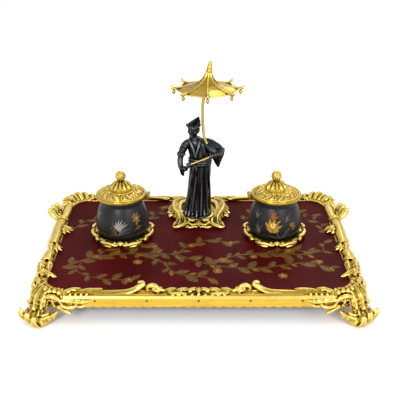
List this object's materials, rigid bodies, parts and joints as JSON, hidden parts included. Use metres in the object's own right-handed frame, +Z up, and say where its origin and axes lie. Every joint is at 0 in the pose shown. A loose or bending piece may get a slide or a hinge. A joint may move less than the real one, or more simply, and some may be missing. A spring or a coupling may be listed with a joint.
{
  "type": "inkstand with figure and two inkwells",
  "caption": "Gilt desk inkstand: lacquer tray on scroll feet, two globular inkwells with hinged lids, and a robed figure holding a parasol.",
  "frame": {"origin": "middle of the tray on the table plane, under the soles of the feet", "axes": "+Z up, +X to the viewer's right along the tray, +Y to the back where the figure stands"},
  "size_m": [0.3616, 0.2666, 0.2225],
  "materials": {
    "gilt_bronze": "fire-gilt, burnished and chased",
    "dark_bronze": "dark patinated bronze",
    "red_lacquer": "dark red lacquer with gold sprays",
    "black_lacquer": "black lacquer with gold and red-brown flowers",
    "board_wood": "stained wood",
    "ink_glass": "clear glass",
    "steel": "darkened steel"
  },
  "bodies": {
    "tray": {"tray_board": "board_wood", "lacquer_panel": "red_lacquer", "front_rail": "gilt_bronze", "back_rail": "gilt_bronze", "left_rail": "gilt_bronze", "right_rail": "gilt_bronze", "front_apron": "gilt_bronze", "back_apron": "gilt_bronze", "left_apron": "gilt_bronze", "right_apron": "gilt_bronze", "apron_nails": "steel", "front_left_foot": "gilt_bronze", "front_right_foot": "gilt_bronze", "back_left_foot": "gilt_bronze", "back_right_foot": "gilt_bronze", "foot_screws": "steel", "figure_mount": "gilt_bronze", "figure_bolt": "steel", "parasol_canopy": "gilt_bronze", "parasol_ferrule": "gilt_bronze", "parasol_finial": "gilt_bronze", "parasol_drops": "gilt_bronze", "figure_robe": "dark_bronze", "figure_head": "dark_bronze", "figure_hat": "dark_bronze", "figure_right_arm": "dark_bronze", "figure_left_arm": "dark_bronze", "parasol_shaft": "gilt_bronze", "left_inkwell_mount": "gilt_bronze", "left_pot": "black_lacquer", "left_liner": "ink_glass", "left_collar": "gilt_bronze", "left_hinge_pin": "gilt_bronze", "left_inkwell_bolt": "steel", "left_inkwell_nut": "steel", "right_inkwell_mount": "gilt_bronze", "right_pot": "black_lacquer", "right_liner": "ink_glass", "right_collar": "gilt_bronze", "right_hinge_pin": "gilt_bronze", "right_inkwell_bolt": "steel", "right_inkwell_nut": "steel"},
    "left_lid": {"left_lid": "gilt_bronze", "left_lid_finial": "gilt_bronze", "left_finial_nut": "steel"},
    "right_lid": {"right_lid": "gilt_bronze", "right_lid_finial": "gilt_bronze", "right_finial_nut": "steel"}
  },
  "joints": [
    {"name": "left_lid_hinge", "type": "hinge", "parent": "tray", "child": "left_lid", "pos_m": [-0.057, 0.0158, 0.08125], "axis": [0, 1, 0], "range_deg": [0, 105]},
    {"name": "right_lid_hinge", "type": "hinge", "parent": "tray", "child": "right_lid", "pos_m": [0.057, 0.0158, 0.08125], "axis": [0, -1, 0], "range_deg": [0, 105]}
  ]
}
